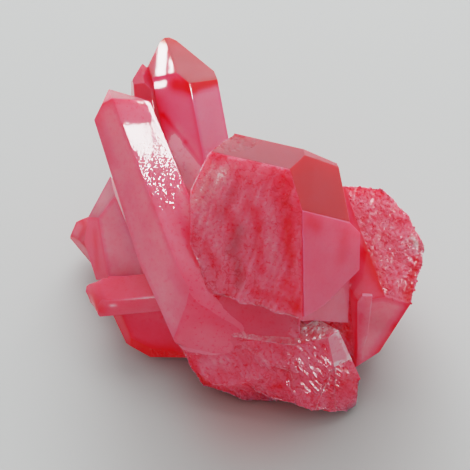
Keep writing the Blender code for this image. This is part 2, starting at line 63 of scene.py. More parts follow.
blocks = {
    "blade": dict(
        corners=dict(
            t=(-25.8, 18.5, 43.7), rr=(-17.2, 14.8, 43.7), c0=(-24.2, 13, 46), s2=(-26.5, 13.5, 44.1),
            sl=(-28.5, 12.5, 40.8), l1=(-25.6, 4.4, 34), l2=(-21.1, -6, 26.2), m1=(-20.4, 5, 40.4),
            m2=(-16.5, -3.1, 34.7), m3=(-9, -18.6, 23.7), r1=(-13.6, 6.4, 37.9), r2=(-10.4, 1.5, 34.2),
            r3=(0.6, -16.5, 20.4), kb1=(-13.9, 13.4, 28.6), kl1=(-25.6, 8.6, 27.4), kt=(-22.9, 21.2, 38.5),
            kb3=(-12.3, 2.1, 18.5), f1=(-6.3, -24.2, 12.6), f2=(-14.3, -23.7, 12.5)),
        faces=dict(left="sl s2 c0 m1 m2 m3 l1 l2", front="c0 rr m1 m2 m3 r1 r2 r3", head="t c0 rr",
                   shoulder="s2 t c0", right="rr r2 kb1", under="sl l2 kl1", top="t rr kt", edge="t s2 sl",
                   back="kb1 kb3 kl1", foot="m3 f1 f2")),
    "great": dict(
        corners=dict(
            a=(11.4, -12.2, 42.2), b=(11.9, -25.1, 26.6), b3=(2.7, -20.9, 24.9), b4=(-5.3, -17.1, 23.5),
            l1=(-9, -9.5, 30), l2=(-9.3, -6.3, 33.7), l3=(-8.9, -3.1, 37.2), t0=(-5.9, -1.1, 41.4),
            t1=(-0.5, 7.1, 42.3), t1b=(-3.7, -0.1, 44.1), kt2=(-0.3, 13.1, 25.8), ktr=(20.4, 12.7, 25.5),
            t2=(12.2, -0.3, 45.3), t3=(20, 1.9, 38.9), e2=(9.2, -6.9, 47), u1=(12.2, -2.4, 45.9),
            u2=(19.4, 0.5, 39.7), r1=(21.4, -7.9, 33.6), kt=(6.2, 16.5, 28.5), kl=(-8, 2.7, 17.7),
            kb=(2.9, -7.6, 9.6), kr=(21.5, 7.9, 21.8), kr2=(21.5, -5.9, 11)),
        faces=dict(brokenLow="a b b3 b4 l1 l2 e2", brokenHigh="e2 l2 l3 t0 t1b", crown="t1 t2 u1 e2 t1b",
                   crownRight="t2 t3 u2 u1", upperRight="e2 u1 u2 r1 a", lowerRight="a r1 b", left="l1 l3 kl",
                   leftTop="l3 t1 kt2", leftLow="b4 l1 kl", under="b b3 b4 kb", side="r1 kr2 u2", top="t1 t2 kt",
                   topRight="t2 t3 ktr", back="kt kb kr kr2"),
        rough=dict(channelled="brokenLow brokenHigh under leftLow leftTop", chipped="back")),
    "shoulder": dict(
        corners=dict(
            a=(11.3, -13, 43.4), b=(12.1, -24.7, 26.6), r1=(21.1, -9.2, 35), r1b=(22.3, -9.4, 33.7),
            r2=(23.5, -9.3, 31.9), r3=(23.6, -13.9, 26.3), l2=(16.3, -21.7, 26.2), s=(11.5, -10.3, 27.9),
            k1=(4, 7.5, 22.2), k2=(23.6, 1.6, 17.4), k3=(23.8, -6.5, 10), k4=(9.5, -8.8, 7.6),
            a2=(11.5, -12.7, 42.6), b2=(12.1, -25.1, 27.3)),
        faces=dict(front="a2 r1 r2 r3 l2 b2", top="a2 r1 k1", bevel="r1 r1b r2 k2", right="r2 r3 k2 k3",
                   rightLow="r3 l2 k3", under="b2 l2 k4", left="a b s", back="k1 k2 k3 k4"),
        rough=dict(chipped="under")),
    "rightBlock": dict(
        corners=dict(
            o1=(22.6, 5.3, 29.2), o2=(27, 5.2, 28.8), o3=(30.2, 5.1, 28.5), o4=(32.9, 2, 27.5),
            o5=(34.9, -0.3, 26.7), o6=(37.7, -7.7, 24.4), o7=(33.6, -18.7, 21.6), i1=(24.9, -4.3, 26.3),
            i2=(26.6, -9.9, 24.6), i3=(28.8, -17.5, 22.3), q1=(23.5, -17.4, 20.8), q2=(24.4, -25, 7.6),
            s1=(28.7, -23.6, 11.4), s2=(31.6, -20.7, 17.4), q3=(23.1, -19.9, 13.7), q4=(23.7, -23.8, 7.5),
            k1=(22.1, 6.1, 15.3), k2=(36.2, 4, 16.2), k3=(38.3, -2.7, 13.3), k4=(33.4, -14.6, 4.5),
            k5=(28.1, -18.7, 0.7), z1=(20.7, -9.2, 23.1)),
        faces=dict(crust="o1 o2 o3 o4 o5 o6 o7 i3 i2 i1", inner="i1 i2 i3 q1 z1", low="i3 q1 q2 s1 s2 o7",
                   strip="q1 q2 q3 q4", top="o1 o2 o3 k1", topRight="o3 o4 o5 k2", rightHigh="o5 o6 k2",
                   right="o6 o7 k3", rightLow="o7 s2 s1 k4", under="s1 q2 k5", back="k1 k3 k4 k5"),
        rough=dict(drusy="crust top topRight rightHigh right", chipped="back")),
    "upperLeft": dict(
        corners=dict(
            t=(-27.7, 12.4, 24.6), o1=(-32.6, 5.4, 19), o2=(-34, 2.5, 13.7), o3=(-30.9, -5.3, 10.2),
            i1=(-25.9, 6.4, 25.2), i2=(-29.7, 3.4, 21.1), i3=(-29, 0.1, 18.8), i4=(-27.4, -7.1, 13.6),
            r1=(-13.8, 3.1, 27.3), r2=(-13.8, -9.8, 16.8), kt=(-27.2, 17.3, 16.4), kl=(-33.5, 9.3, 7.6),
            kb=(-30, -1.2, 2)),
        faces=dict(upper="t i1 i2 o1", strip="o1 o2 o3 i4 i3 i2", front="i1 i2 i3 i4 r1 r2", top="t i1 kt",
                   leftHigh="o1 t kl", left="o1 o2 kl", under="o3 i4 kb", leftLow="o2 o3 kb", back="kt kl kb")),
    "leftStub": dict(
        corners=dict(
            a=(-35.2, 8.6, 14.4), b=(-36.9, 9, 12.9), c=(-38.5, 6.8, 10.4), d=(-38.9, 6.8, 8.1),
            e=(-36.1, 4, 8.7), m1=(-34.5, 6.2, 14.1), m2=(-36, 4.6, 11.8), m3=(-30.3, -1.3, 11.4),
            f=(-32.3, -0.1, 7.3), r1=(-27.9, 5.3, 18), r2=(-26.6, -3.1, 12.7), k1=(-35.3, 13, 6.7),
            k2=(-38, 9.9, 5.6), k3=(-33.7, 4.8, 2.8)),
        faces=dict(top="a m1 r1", head="b c m2 m1 a", front="m1 m2 m3 r1 r2", lowHead="c d e m2",
                   topBack="a b k1", left="b c d k2", under="e f k3", back="k1 k2 k3")),
    "finger": dict(
        corners=dict(
            u1=(-29.2, -9.8, 17.1), u0=(-31.9, -9.4, 13.6), l0=(-31.9, -12.1, 14.2), l1=(-29.3, -15.6, 14.2),
            l2=(-28.5, -15.5, 11.8), b1=(-26, -15.9, 12.7), d0=(-28.1, -15, 16.9), d1=(-17.1, -14.7, 17.8),
            u2=(-19, -9, 18), b2=(-14.7, -15.6, 14.1), n1=(-29.8, -12.6, 16.9), k1=(-30.7, -8.1, 10.6),
            k2=(-29.5, -12.2, 8.1), k3=(-18.8, -7.1, 10.9), k4=(-16.6, -10.8, 8.7)),
        faces=dict(upper="u1 u2 d1 d0 n1", head="u1 u0 l0 n1", lowHead="n1 l0 l1 d0", lower="d0 d1 b2 b1 l1",
                   top="u1 u2 k1 k3", nose="u0 l0 k1", noseLow="l0 l1 l2 k2", under="l2 b1 b2 k2 k4",
                   back="k1 k2 k3 k4")),
    "lowerLeft": dict(
        corners=dict(
            a=(-26.6, -13.2, 9), b=(-23.9, -17.7, 5.2), c=(-22.7, -18.8, 5.1), d=(-18.4, -20.8, 3.9),
            e=(-12.8, -21.5, 5.1), i1=(-24.5, -14.2, 11.4), i2=(-22.3, -18.2, 7.5), i3=(-17.8, -20.2, 6.4),
            r1=(-10, -15.6, 13.7), r2=(-6.4, -22, 7.5), t1=(-22.2, -10.6, 16.2), k1=(-25, -8.9, 3.5),
            k2=(-21.5, -15.6, -0.4), k3=(-12.5, -18.2, -1.2)),
        faces=dict(strip="a b c i2 i1", front="i1 i2 i3 r1 r2 t1", low="c d i3 i2", lowRight="d e r2 i3",
                   left="a b k1", under="c d k2", underRight="d e k3", back="k1 k2 k3"),
        rough=dict(striated="lowRight")),
    "mass": dict(
        corners=dict(
            p1=(-15.6, -17.7, 17.9), p2=(-12.9, -21.1, 13.9), p3=(-9.2, -25.7, 8.5), p4=(-6.1, -28.1, 4.4),
            p5=(1.3, -29.4, 1.8), p6=(7.9, -29.2, 2.6), q2=(-2.5, -28.2, 10.1), q3=(8.5, -28.1, 10.8),
            c1=(-4.2, -14.2, 26.7), c2=(11.9, -18.3, 26), k1=(-15.9, -6.4, 7.8), k2=(-7.7, -22.7, 1.7),
            k3=(3, -22.6, -5.9), t1=(-14.4, -19.2, 15.8), t2=(-4.2, -14.6, 23.9), t3=(-7.9, -3.9, 15)),
        faces=dict(front="p1 p2 p3 c1 c2 q3", lowLeft="p3 p4 q2", low="q2 q3 p5 p6", lowMiddle="p4 p5 q2",
                   left="p1 p2 p3 k1 k2", under="p4 p5 k3", back="k1 k2 k3", top="t1 t2 t3"),
        rough=dict(striated="front lowLeft low lowMiddle left under back top")),
    "ledge": dict(
        corners=dict(
            a1=(19.6, -22.9, 19), a2=(22.9, -25.9, 12.2), a3=(19, -27.5, 13.1), a4=(17.5, -24.4, 18.6),
            a5=(13.5, -18.5, 18.4), a6=(8.3, -25.8, 17.3), n1=(10.4, -28.5, 12.4), n2=(17.3, -30.1, 8.8),
            b0=(0.7, -28.7, 7.3), b1=(5.3, -30.5, 6.6), b2=(9.7, -32.2, 5.9), b3=(15.7, -32.6, 4.7),
            b4=(22.1, -32.2, 2.5), b5=(24.6, -31.8, 1.3), b6=(24.8, -29.5, 3.6), b7=(25.2, -27.3, 6.9),
            m1=(-0.3, -23.8, 14.7), k1=(9.4, -26.1, -3.4), k2=(24.8, -26.4, -5.4), k3=(23.6, -18, 1.8),
            k4=(7.2, -20.4, 1.7)),
        faces=dict(plate="a1 a2 a3 a4", upper="a1 a4 a5 a6", front="a4 a3 n2 n1 a6", low="a3 n2 b4 b3",
                   lowFront="n1 n2 b2 b3", right="a2 a3 b7 b6", left="a6 n1 m1", leftLow="n1 b0 b1 b2",
                   rightBack="a1 a2 b7 k3", rightLow="b5 b6 b7 k2", under="b2 b3 b4 b5 k1", underLeft="b0 b1 b2 k1",
                   top="a1 a5 k3", back="k1 k2 k3 k4"),
        rough=dict(striated="front low lowFront right left leftLow rightLow", drusy="upper",
                   chipped="under underLeft back")),
    "growthPlate": dict(
        corners=dict(
            a=(23.5, -17.8, 20.7), b=(24.4, -17.1, 22.2), c=(26.3, -17.3, 22.4), d=(26.3, -18.9, 19.6),
            e=(26.1, -21.5, 15), f=(25.7, -22.8, 12.5), g=(24.3, -23.4, 11), ka=(23.9, -15.2, 19.2),
            kb=(24.8, -14.5, 20.7), kc=(26.7, -14.7, 20.9), ke=(26.5, -18.9, 13.5), kf=(26.1, -20.2, 11),
            kg=(24.7, -20.8, 9.5)),
        faces=dict(front="a b c d e f g", left="a g ka kg", topLeft="a b ka", top="b c kb", right="c d e kc",
                   rightLow="e f ke", foot="f g kf", back="ka kb kc ke kf kg")),
    "infill": dict(
        corners=dict(
            a=(17.2, -17.4, 21.1), b=(23.3, -15.6, 19.8), c=(24, -24.2, 8.3), d=(19.7, -22.7, 12.8),
            e=(12.2, -21, 19.5), f=(24.7, -11.8, 21.6), k1=(13.6, -10.4, 10), k2=(24.4, -10.4, 10),
            k3=(23.3, -18.9, 3.4)),
        faces=dict(front="a b c d e", top="a f k2", right="b c k3", under="d e k1", back="k1 k2 k3"),
        rough=dict(striated="front")),
}

# The matrix: height, half width, half depth, centre x and centre y of each ring from the resting flat up
matrixRings = ((0, 20, 14, 5, -7.5), (8, 25.5, 18, 4, -6.5), (22, 15.5, 10.5, 3, -4.5))
matrixSides = 11

# How each solid is cut, in mm and degrees; their lowest points are staggered, so that no floors coincide
cut = dict(headAngle=51.8, closeMargin=0.3, lift=0.7, liftSlope=5.0, lowest=0.4, stagger=0.05, blank=160.0,
           weld=0.12, sliver=0.05, bevel=0.16)


def flatThrough(points, inside):
    points = np.array(points, float)
    middle = points.mean(axis=0)
    normal = np.linalg.svd(points - middle)[2][2]
    if normal @ (middle - inside) < 0:
        normal = -normal
    return Vector(normal), float(normal @ middle)


def crystalFlats(tip, bearing, rise, roll, taper, length, sides, heads):
    # named faces of one crystal: side0 to side5, head0 to head5 and foot
    tip = Vector(tip)
    turn, lift, head = math.radians(bearing), math.radians(rise), math.radians(cut["headAngle"])
    axis = Vector((math.sin(turn) * math.cos(lift), math.cos(turn) * math.cos(lift), math.sin(lift)))
    up = (Vector((0, 0, 1)) - axis * axis.z).normalized()
    across = axis.cross(up)
    flats = []
    for k in range(6):
        angle = math.radians(roll + 60 * k)
        spoke = up * math.cos(angle) + across * math.sin(angle)
        side = spoke * math.cos(math.radians(taper)) + axis * math.sin(math.radians(taper))
        slope = spoke * math.sin(head) + axis * math.cos(head)
        flats.append((f"side{k}", side, side.dot(tip) + sides[k]))
        flats.append((f"head{k}", slope, slope.dot(tip) + math.cos(head) * heads[k]))
    flats.append(("foot", -axis, -axis.dot(tip - axis * length)))
    return flats, tip - axis * length * 0.5


def blockFlats(corners, faces):
    points = np.array(list(corners.values()), float)
    inside = points.mean(axis=0)
    flats = [(name, *flatThrough([corners[c] for c in listed.split()], inside)) for name, listed in faces.items()]
    low = points.min(axis=0) - cut["closeMargin"]
    high = points.max(axis=0) + cut["closeMargin"]
    for k, way in enumerate((Vector((1, 0, 0)), Vector((0, 1, 0)), Vector((0, 0, 1)))):
        flats.append(("close", way, float(high[k])))
        flats.append(("close", -way, -float(low[k])))
    return flats, Vector(inside)


def clipFlats(number, middle):
    # clear of the floor, with an underside that rises outward
    slope = math.radians(cut["liftSlope"])
    outward = Vector((middle[0], middle[1], 0.0)).normalized()
    normal = Vector((0, 0, -math.cos(slope))) + outward * math.sin(slope)
    point = Vector((middle[0], middle[1], cut["lift"]))
    return [("underside", normal, normal.dot(point)),
            ("low", Vector((0, 0, -1)), -cut["lowest"] - cut["stagger"] * number)]


def cutSolid(flats, middle):
    bm = bmesh.new()
    bmesh.ops.create_cube(bm, size=cut["blank"], matrix=Matrix.Translation(middle))
    for name, normal, distance in flats:
        geometry = bm.verts[:] + bm.edges[:] + bm.faces[:]
        made = bmesh.ops.bisect_plane(bm, geom=geometry, dist=1e-4, plane_co=normal * distance,
                                      plane_no=normal, clear_outer=True)
        edges = [e for e in made["geom_cut"] if isinstance(e, bmesh.types.BMEdge)]
        if len(edges) > 2:
            bmesh.ops.holes_fill(bm, edges=edges, sides=0)
    bmesh.ops.remove_doubles(bm, verts=bm.verts[:], dist=cut["weld"])
    bmesh.ops.dissolve_degenerate(bm, edges=bm.edges[:], dist=cut["sliver"])
    bmesh.ops.recalc_face_normals(bm, faces=bm.faces[:])
    bmesh.ops.bevel(bm, geom=bm.edges[:], offset=cut["bevel"], segments=2, profile=0.5, affect="EDGES",
                    clamp_overlap=True)
    bmesh.ops.recalc_face_normals(bm, faces=bm.faces[:])
    return bm


def matrixSolid():
    # lumpy drum with a flat foot, the rough mass that the crystals grew from
    bm = bmesh.new()
    rings = []
    for level, (height, width, depth, cx, cy) in enumerate(matrixRings):
        ring = []
        for k in range(matrixSides):
            angle = 2 * math.pi * (k + 0.5 * level) / matrixSides
            bump = 1.0 + 0.06 * math.sin(3 * angle + level) + 0.04 * math.sin(5 * angle)
            x, y = cx + width * bump * math.cos(angle), cy + depth * bump * math.sin(angle)
            ring.append(bm.verts.new((x, y, height)))
        rings.append(ring)
    for lower, upper in zip(rings, rings[1:]):
        for k in range(matrixSides):
            after = (k + 1) % matrixSides
            bm.faces.new((lower[k], lower[after], upper[k]))
            bm.faces.new((lower[after], upper[after], upper[k]))
    bm.faces.new(list(reversed(rings[0])))
    bm.faces.new(rings[-1])
    bmesh.ops.recalc_face_normals(bm, faces=bm.faces[:])
    return bm


def toObject(name, bm):
    mesh = bpy.data.meshes.new(name)
    bm.to_mesh(mesh)
    bm.free()
    made = bpy.data.objects.new(name, mesh)
    bpy.context.collection.objects.link(made)
    return made


# Faces trimmed off after the rest: crystal, then name, normal and distance from the origin in mm
trims = {"blade": [("trim", Vector((-0.903, -0.410, -0.130)).normalized(), 18.66)]}


def growTogether():
    # every crystal and the matrix as one closed skin, in mm; also the named flats of each
    whole = toObject("crystalCluster", matrixSolid())
    solids = []
    tables = [(name, *blockFlats(b["corners"], b["faces"])) for name, b in blocks.items()]
    tables += [(name, *crystalFlats(**c)) for name, c in crystals.items()]
    for number, (name, flats, middle) in enumerate(tables):
        flats = flats + trims.get(name, []) + clipFlats(number, middle)
        solids.append((name, flats))
        other = toObject(name, cutSolid(flats, middle))
        union = whole.modifiers.new("union", "BOOLEAN")
        union.operation, union.solver, union.object = "UNION", "EXACT", other
        joined = bpy.data.meshes.new_from_object(whole.evaluated_get(bpy.context.evaluated_depsgraph_get()))
        whole.modifiers.clear()
        whole.data = joined
        bpy.data.objects.remove(other)
    return whole, solids


def ownersOf(points, solids):
    # which solid and which of its flats each point of the skin lies on
    best = np.full(len(points), skin["near"])
    owner = np.full(len(points), -1)
    flat = np.full(len(points), -1)
    for k, (name, flats) in enumerate(solids):
        normals = np.array([f[1] for f in flats])
        distances = np.array([f[2] for f in flats])
        height = points @ normals.T - distances
        reach = height.max(axis=1)
        nearer = reach < best
        best[nearer] = reach[nearer]
        owner[nearer] = k
        flat[nearer] = height.argmax(axis=1)[nearer]
    return owner, flat


# How each kind of broken surface is worked: mesh cell, depths and feature sizes in mm, slopes of the grains
reliefs = {
    "channelled": dict(cell=0.36, blotch=0.5, blotchSize=3.4, streak=0.3, streakAcross=1, streakAlong=6,
                       grain=(0.7, 1), slope=0.18, grit=0.05, skew=0),
    "drusy": dict(cell=0.33, blotch=0.5, blotchSize=3.2, streak=0, streakAcross=1, streakAlong=1,
                  grain=(0.95, 0.95), slope=0.3, grit=0.05, skew=0),
    "striated": dict(cell=0.3, blotch=0.6, blotchSize=4.2, streak=0.22, streakAcross=0.8, streakAlong=4.5,
                     grain=(0.46, 2), slope=0.2, grit=0.05, skew=0.7),
    "chipped": dict(cell=0.8, blotch=0.9, blotchSize=5, streak=0, streakAcross=1, streakAlong=1,
                    grain=(1.9, 1.9), slope=0.4, grit=0.12, skew=0),
}
skin = dict(wholeCell=1.0, closeCell=0.50, widest=9.0, overrun=1.45, near=0.30, fadeIn=0.5, shift=(7.3, 1.9, 3.7),
            flashNormal=(0.345, -0.378, 0.859), flashSpread=0.035)
closeFaces = ("ledge.plate", "finger.upper", "finger.lower", "tallBack.side0", "tallBack.side1", "tallBack.head0",
              "tallBack.head1", "rightBlock.inner")

# Where small facets lie parallel and flash together: centre and radius in mm, and the share of them that do
flashSpots = (((15.8, -27.5, 12.8), 7.6, 0.55), ((15, -20.6, 18.6), 2.6, 0.35), ((28.1, 0.3, 27.4), 3, 0.16),
              ((33.2, -2.6, 26.2), 1.6, 0.16), ((-9, -24.8, 11), 2, 0.15))
# Corners worn round: centre and radius in mm, then rounds of smoothing
softSpots = (((-10, -19.2, 23.4), 8, 80), ((-29.8, -13.2, 16), 4, 110), ((-8, -24.2, 12.4), 4.6, 90),
             ((-0.6, -20.4, 17.4), 5.6, 110), ((9, -19.5, 25), 3, 15))
softPull = 0.6
softMargin = 1.3  # of the radius

# Whole faces that are broken near a spot, and broken faces that are whole near one: centre and radius in mm
brokenSpots = {"great.crown": ((-0.5, 4.2, 43.2), 4.6)}
wholeSpots = {"mass.front": ((3.5, -19.8, 20.6), 7.2)}


def styleOf(solid, face):
    # the relief of a face of a block, or "" where it is whole
    if face == "underside":
        return "chipped"
    for style, listed in blocks.get(solid, {}).get("rough", {}).items():
        if face in listed.split():
            return style
    return ""


def nameFlats(bm, solids):
    # marks every face with the named flat that it lies on; 0 and 1 are the matrix
    table = [("matrix.side", "chipped"), ("matrix.flat", "")]
    first = []
    for name, flats in solids:
        first.append(len(table))
        table += [(f"{name}.{face}", styleOf(name, face)) for face, normal, distance in flats]
    mark = bm.faces.layers.int.new("flat")
    centres = np.array([f.calc_center_median() for f in bm.faces])
    owner, flat = ownersOf(centres, solids)
    for face, o, f in zip(bm.faces, owner, flat):
        face[mark] = first[o] + int(f) if o >= 0 else int(face.calc_center_median().z < 0.02)
    return table, mark


def kindHere(name, style, centre):
    if name in brokenSpots and (centre - Vector(brokenSpots[name][0])).length < brokenSpots[name][1]:
        return "channelled"
    if name in wholeSpots and (centre - Vector(wholeSpots[name][0])).length < wholeSpots[name][1]:
        return ""
    return style


def refine(whole, solids):
    # splits the skin into cells, fine on broken faces and coarser on whole ones; names and kinds per face
    bm = bmesh.new()
    bm.from_mesh(whole.data)
    bmesh.ops.triangulate(bm, faces=bm.faces[:])
    table, mark = nameFlats(bm, solids)
    spotted = set(brokenSpots) | set(wholeSpots)
    cells = [reliefs[style]["cell"] if style else skin["closeCell" if name in closeFaces else "wholeCell"]
             for name, style in table]
    for step in range(24):
        longEdges = []
        for edge in bm.edges:
            wanted = skin["widest"]
            for face in edge.link_faces:
                name, style = table[face[mark]]
                cell = cells[face[mark]]
                if name in spotted:
                    style = kindHere(name, style, face.calc_center_median())
                    cell = reliefs[style]["cell"] if style else skin["wholeCell"]
                wanted = min(wanted, cell)
            if edge.calc_length() > wanted * skin["overrun"]:
                longEdges.append(edge)
        if not longEdges:
            break
        for edge in sorted(longEdges, key=lambda e: -e.calc_length()):
            # halved, and each face beside it split from the new point to its far corner
            beside = [(face, next(v for v in face.verts if v not in edge.verts)) for face in edge.link_faces]
            middle = bmesh.utils.edge_split(edge, edge.verts[0], 0.5)[1]
            for face, corner in beside:
                bmesh.utils.face_split(face, middle, corner)
        bm.normal_update()
        inside = [e for e in bm.edges if len(e.link_faces) == 2 and e.link_faces[0][mark] == e.link_faces[1][mark]
                  and e.link_faces[0].normal.dot(e.link_faces[1].normal) > 0.9999]
        bmesh.ops.beautify_fill(bm, faces=bm.faces[:], edges=inside, method="AREA")  # slivers into fuller triangles
    alike = {}
    for face in bm.faces:
        alike.setdefault(frozenset(face.verts), []).append(face)
    flaps = [face for same in alike.values() if len(same) > 1 for face in same]  # back to back, enclosing nothing
    bmesh.ops.delete(bm, geom=flaps, context="FACES")
    names = [table[f[mark]][0] for f in bm.faces]
    kinds = [kindHere(*table[f[mark]], f.calc_center_median()) for f in bm.faces]
    bm.faces.layers.int.remove(mark)
    bm.to_mesh(whole.data)
    bm.free()
    return names, kinds


def reliefHere(kind, point, normal):
    # depth in mm and tone, both about zero on average, at a point of a broken face
    r = reliefs[kind]
    along = Vector((0, 0, 1)) - normal * normal.z
    along = along.normalized() if along.length > 0.05 else Vector((0, 1, 0))
    across = normal.cross(along)
    lengthwise = (along + across * r["skew"]).normalized()
    sideways = normal.cross(lengthwise)
    shift = Vector(skin["shift"])
    wide, long = r["grain"]
    place = Vector((point.dot(sideways) / wide, point.dot(lengthwise) / long, point.dot(normal) / wide)) + shift
    gaps, seeds = noise.voronoi(place)
    off = place - seeds[0]
    offSide, offLong = off.x * wide, off.y * long
    chance = noise.cell(seeds[0] * 5.3)
    flash = Vector(skin["flashNormal"])
    share = max(amount * (1 - ((point - Vector(middle)).length / radius) ** 2)
                for middle, radius, amount in flashSpots)
    flashing = 0.5 + 0.5 * chance < share and normal.dot(flash) > 0.4
    base = point - sideways * offSide - lengthwise * offLong if flashing else point
    depth = r["blotch"] * noise.noise(base / r["blotchSize"] + shift)
    u, v, w = base.dot(sideways), base.dot(lengthwise), base.dot(normal)
    streak = noise.noise(Vector((u / r["streakAcross"], v / r["streakAlong"], w / 3.0)) + shift)
    depth += r["streak"] * streak
    if flashing:
        lean = flash / normal.dot(flash) - normal + noise.noise_vector(seeds[0] * 2.3) * 2 * skin["flashSpread"]
        depth += offSide * lean.dot(sideways) + offLong * lean.dot(lengthwise)
    else:
        lean = noise.noise_vector(seeds[0] * 3.1) * 1.7 * r["slope"]
        depth += offSide * lean.x + offLong * lean.y + r["slope"] * 0.4 * (gaps[0] - 0.45)
        depth += r["grit"] * noise.noise(point / 0.4 + shift)
    tone = 0.8 * streak + 0.5 * chance + 0.5 * noise.noise(point / 0.5 - shift)
    return depth, tone


def soften(whole):
    # wears the corners at the soft spots round
    mesh = whole.data
    points = np.array([v.co for v in mesh.vertices])
    ends = np.array([e.vertices for e in mesh.edges])
    for middle, radius, rounds in softSpots:
        gap = np.linalg.norm(points - np.array(middle), axis=1) / radius
        weight = np.clip(1 - gap * gap, 0, 1)[:, None] * softPull
        near = ends[(gap[ends] < softMargin).any(axis=1)]
        for step in range(rounds):
            total, count = np.zeros_like(points), np.zeros(len(points))
            for one, other in ((near[:, 0], near[:, 1]), (near[:, 1], near[:, 0])):
                np.add.at(total, one, points[other])
                np.add.at(count, one, 1)
            known = (count > 0) & (weight[:, 0] > 0)
            points[known] += weight[known] * (total[known] / count[known, None] - points[known])
    mesh.vertices.foreach_set("co", points.ravel())
    mesh.update()


def workRelief(whole, names, kinds):
    # raises and sinks the broken faces by their relief; returns the depth and tone at every vertex
    mesh = whole.data
    count = len(mesh.vertices)
    normals = [Vector() for _ in range(count)]
    kindAt = [None] * count
    for polygon, kind in zip(mesh.polygons, kinds):
        for v in polygon.vertices:
            normals[v] += polygon.normal * polygon.area
            kindAt[v] = "" if kindAt[v] == "" or not kind else kind
    border = [k for k in range(count) if kindAt[k] == ""]
    tree = kdtree.KDTree(len(border))
    for k in border:
        tree.insert(mesh.vertices[k].co, k)
    tree.balance()
    depths, tones = np.zeros(count), np.zeros(count)
    for k in range(count):
        if not kindAt[k]:
            continue
        point = mesh.vertices[k].co.copy()
        normal = normals[k].normalized()
        fade = min(1.0, tree.find(point)[2] / skin["fadeIn"])
        if point.z < 1.0:
            fade *= max(0.0, point.z)
        depth, tones[k] = reliefHere(kindAt[k], point, normal)
        depths[k] = depth * fade
        mesh.vertices[k].co = point - normal * depths[k]
    return depths, tones


# The look of each crystal, 0 to 1: strength of the dye, tints of lilac, amber and smoke, and clearness
crystalLooks = {
    "matrix": dict(dye=0.55, clear=0.05),
    "blade": dict(dye=0.27, clear=0.15),
    "great": dict(dye=0.36, smoke=0.3, clear=0.08),
    "shoulder": dict(dye=0.43, lilac=0.3, smoke=0.14, clear=0.2),
    "rightBlock": dict(dye=0.17, smoke=0.05, clear=0.2),
    "growthPlate": dict(dye=0.18, clear=0.25),
    "upperLeft": dict(dye=0.22, lilac=0.1, clear=0.3),
    "leftStub": dict(dye=0.36, lilac=0.1, smoke=0.3, clear=0.3),
    "finger": dict(dye=0.55, clear=0.2),
    "lowerLeft": dict(dye=0.52, clear=0.15),
    "mass": dict(dye=0.5, smoke=0.32, clear=0.08),
    "ledge": dict(dye=0.38, smoke=0.25, clear=0.08),
    "infill": dict(dye=0.42, smoke=0.26, clear=0.1),
    "tallBack": dict(dye=0.45, lilac=0.3, clear=0.35),
    "sliver": dict(dye=0.95, lilac=0.45, smoke=0.45, clear=0.2),
    "rearHigh": dict(dye=0.42, lilac=0.2, clear=0.35),
    "rearMiddle": dict(dye=0.5, lilac=0.1, clear=0.35),
    "rearRight": dict(dye=0.4, lilac=0.3, clear=0.4),
    "rearLong": dict(dye=0.55, clear=0.3),
    "rearLeft": dict(dye=0.45, lilac=0.2, clear=0.35),
    "rearLow": dict(dye=0.5, clear=0.3),
}
faceLooks = {
    "blade.front": dict(dye=0.28, smoke=0.03, clear=0.1),
    "blade.left": dict(dye=0.22, smoke=0.07),
    "blade.foot": dict(dye=0.36, smoke=0.08, clear=0.1),
    "blade.head": dict(dye=0.3, amber=0.3, smoke=0.15, clear=0.4),
    "great.upperRight": dict(dye=1, smoke=0.6, clear=0.15),
    "great.crown": dict(dye=0.56, lilac=0.15, smoke=0.92, clear=0.15),
    "great.crownRight": dict(dye=0.5, smoke=0.8),
    "great.lowerRight": dict(dye=0.3, smoke=0.12, clear=0.25),
    "rightBlock.crust": dict(dye=0.4, smoke=0.42, clear=0.1),
    "rightBlock.strip": dict(dye=0.2),
    "rightBlock.inner": dict(dye=0.42, smoke=0.22, clear=0.15),
    "upperLeft.strip": dict(dye=0.66, lilac=0.35, smoke=0.15, clear=0.05),
    "upperLeft.upper": dict(dye=0.16, clear=0.5),
    "upperLeft.front": dict(dye=0.17, clear=0.25),
    "finger.lower": dict(dye=0.42, clear=0.2),
    "tallBack.side0": dict(dye=0.32, lilac=0.45, smoke=0.06, clear=0.1),
    "tallBack.side1": dict(dye=0.1, lilac=0.65, smoke=0.12, clear=0.2),
    "tallBack.head1": dict(dye=0.4, amber=0.75, smoke=0.5, clear=0.35),
    "tallBack.head0": dict(dye=0.5, amber=0.5),
    # ledge.upper: a pale frosted face, made paler still as painted light that lifts the shade under the overhang
    "ledge.upper": dict(dye=0.15),
    "ledge.front": dict(dye=0.36, smoke=0.22),
    # ledge.plate: the pale lilac is a painted sheen, standing in for the bright reflection of its frosted face
    "ledge.plate": dict(dye=0.07, lilac=0.25),
    "mass.front": dict(dye=0.39, smoke=0.24),
    "lowerLeft.lowRight": dict(dye=0.85, smoke=0.1),
    "lowerLeft.low": dict(dye=0.8),
    "lowerLeft.strip": dict(dye=0.66),
}

# How strongly the whole faces are frosted and scored
wornFaces = {"blade.front": 1.0, "blade.left": 0.35, "blade.foot": 1.0, "tallBack.head0": 0.8, "ledge.plate": 1.0,
             "mass.front": 0.5, "infill.front": 0.8, "finger.upper": 0.5, "finger.lower": 0.4, "other": 0.22}
